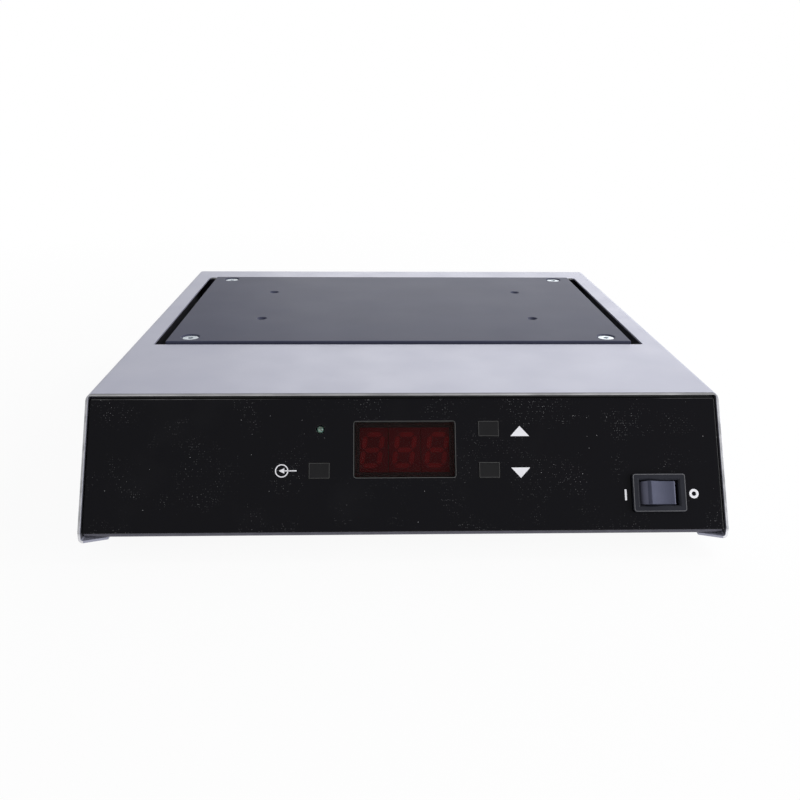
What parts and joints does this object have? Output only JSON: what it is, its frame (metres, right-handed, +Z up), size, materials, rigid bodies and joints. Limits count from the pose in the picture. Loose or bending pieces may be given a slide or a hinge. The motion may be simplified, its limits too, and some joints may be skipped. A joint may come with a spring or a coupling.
{
  "type": "pcb preheater",
  "caption": "Benchtop preheater for circuit boards: low sheet-metal case, dark heating plate in its top, slanted black front with red display, keys and rocker switch.",
  "frame": {"origin": "middle of the footprint, on the bench under the feet", "axes": "+X to the right seen from the front, +Y to the rear, +Z up; the slanted front faces -Y"},
  "size_m": [0.252, 0.2604, 0.058],
  "materials": {
    "cover_sheet": "satin light grey",
    "chassis_sheet": "zinc-plated, dull",
    "fascia": "glossy black",
    "window": "dark red, clear",
    "black_plastic": "black, slightly satin",
    "digit_face": "dark",
    "plate_coating": "dark grey, satin",
    "zinc": "bright zinc plating",
    "rubber": "black",
    "fibre_board": "fibrous, off-white",
    "element_sheath": "heat-darkened",
    "aluminium": "plain",
    "circuit_board": "green, satin",
    "brass": "plated",
    "lamp_lens": "milky green",
    "fuse_glass": "clear",
    "wire_brown": "brown insulation",
    "wire_blue": "blue insulation",
    "wire_white": "white glass-fibre sleeve",
    "ribbon": "grey"
  },
  "bodies": {
    "root": {"cover": "cover_sheet", "chassis": "chassis_sheet", "element_clamp_left": "chassis_sheet", "element_clamp_right": "chassis_sheet", "front_fascia": "fascia", "display_window": "window", "enter_key_switch": "black_plastic", "up_key_switch": "black_plastic", "down_key_switch": "black_plastic", "power_switch_body": "black_plastic", "mains_inlet": "black_plastic", "triac": "black_plastic", "transformer": "black_plastic", "overheat_cutout": "black_plastic", "display_digit_1": "digit_face", "display_digit_2": "digit_face", "display_digit_3": "digit_face", "heater_plate": "plate_coating", "plate_screw_front_left": "zinc", "plate_screw_front_right": "zinc", "plate_screw_rear_left": "zinc", "plate_screw_rear_right": "zinc", "plate_pillar_front_left": "zinc", "plate_pillar_front_right": "zinc", "plate_pillar_rear_left": "zinc", "plate_pillar_rear_right": "zinc", "cover_screw_front_left": "zinc", "cover_screw_front_right": "zinc", "cover_screw_rear_left": "zinc", "cover_screw_rear_right": "zinc", "temperature_probe": "zinc", "remote_socket": "zinc", "foot_front_left": "rubber", "foot_front_right": "rubber", "foot_rear_left": "rubber", "foot_rear_right": "rubber", "insulation_board": "fibre_board", "heating_element": "element_sheath", "reflector_tray": "aluminium", "heat_shield": "aluminium", "heatsink": "aluminium", "control_board": "circuit_board", "power_board": "circuit_board", "inlet_pin_live": "brass", "inlet_pin_neutral": "brass", "inlet_pin_earth": "brass", "bonding_socket": "brass", "fuse_holder": "brass", "status_lamp": "lamp_lens", "mains_fuse": "fuse_glass", "live_wire": "wire_brown", "switched_live_wire": "wire_brown", "neutral_wire": "wire_blue", "heater_lead_front": "wire_white", "heater_lead_rear": "wire_white", "ribbon_cable": "ribbon"},
    "enter_key": {"enter_key": "black_plastic"},
    "up_key": {"up_key": "black_plastic"},
    "down_key": {"down_key": "black_plastic"},
    "power_rocker": {"power_rocker": "black_plastic"}
  },
  "joints": [
    {"name": "enter_key_press", "type": "slide", "parent": "root", "child": "enter_key", "axis": [0, 0.8572, -0.515], "range_m": [0, 0.0005], "stiffness_N_per_m": 1600, "springref_m": -0.0005},
    {"name": "up_key_press", "type": "slide", "parent": "root", "child": "up_key", "axis": [0, 0.8572, -0.515], "range_m": [0, 0.0005], "stiffness_N_per_m": 1600, "springref_m": -0.0005},
    {"name": "down_key_press", "type": "slide", "parent": "root", "child": "down_key", "axis": [0, 0.8572, -0.515], "range_m": [0, 0.0005], "stiffness_N_per_m": 1600, "springref_m": -0.0005},
    {"name": "power_rocker_tip", "type": "hinge", "parent": "root", "child": "power_rocker", "pos_m": [0.0992, -0.12015, 0.02076], "axis": [0, 0.515, 0.8572], "range_deg": [-24, 0]}
  ]
}
